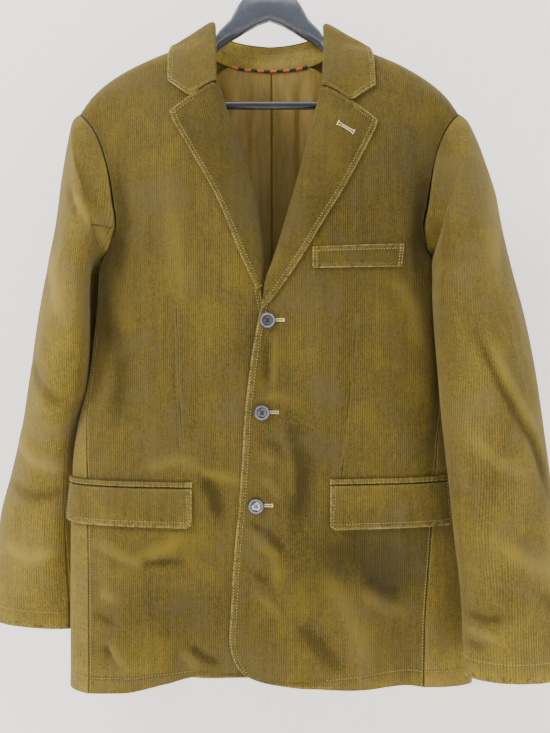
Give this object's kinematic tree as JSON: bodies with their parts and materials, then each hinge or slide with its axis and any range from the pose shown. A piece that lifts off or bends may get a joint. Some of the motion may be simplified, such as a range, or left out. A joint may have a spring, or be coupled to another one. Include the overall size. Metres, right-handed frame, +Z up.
{
  "type": "corduroy jacket on a hanger",
  "caption": "Single-breasted corduroy jacket with notched lapels, flap pockets and a chest welt, hanging buttoned on a plastic hanger.",
  "frame": {"origin": "the point on the underside of the hook's bend that rests on the rail", "axes": "+Z up, the jacket's front faces -Y, +X is the wearer's left"},
  "size_m": [0.7274, 0.229, 0.9726],
  "materials": {
    "corduroy": "olive-brown fine corduroy, soft nap",
    "lining": "bronze sateen lining",
    "piping": "woven two-colour piping",
    "horn": "grey-brown horn look, half gloss",
    "hanger_plastic": "charcoal moulded plastic, satin",
    "hook_steel": "bright plated wire"
  },
  "bodies": {
    "root": {"front_left": "corduroy", "front_right": "corduroy", "back_left": "corduroy", "back_right": "corduroy", "side_left": "corduroy", "side_right": "corduroy", "sleeve_left_top": "corduroy", "sleeve_left_under": "corduroy", "sleeve_right_top": "corduroy", "sleeve_right_under": "corduroy", "lapel_left": "corduroy", "lapel_right": "corduroy", "collar_fall": "corduroy", "collar_stand": "corduroy", "pocket_flap_left": "corduroy", "pocket_flap_right": "corduroy", "pocket_jet_left": "corduroy", "pocket_jet_right": "corduroy", "chest_welt": "corduroy", "lining_left": "lining", "lining_right": "lining", "neck_piping": "piping", "button_1": "horn", "button_2": "horn", "button_3": "horn", "hanger_body": "hanger_plastic", "hanger_bar": "hanger_plastic", "hanger_hook": "hook_steel"}
  },
  "joints": []
}
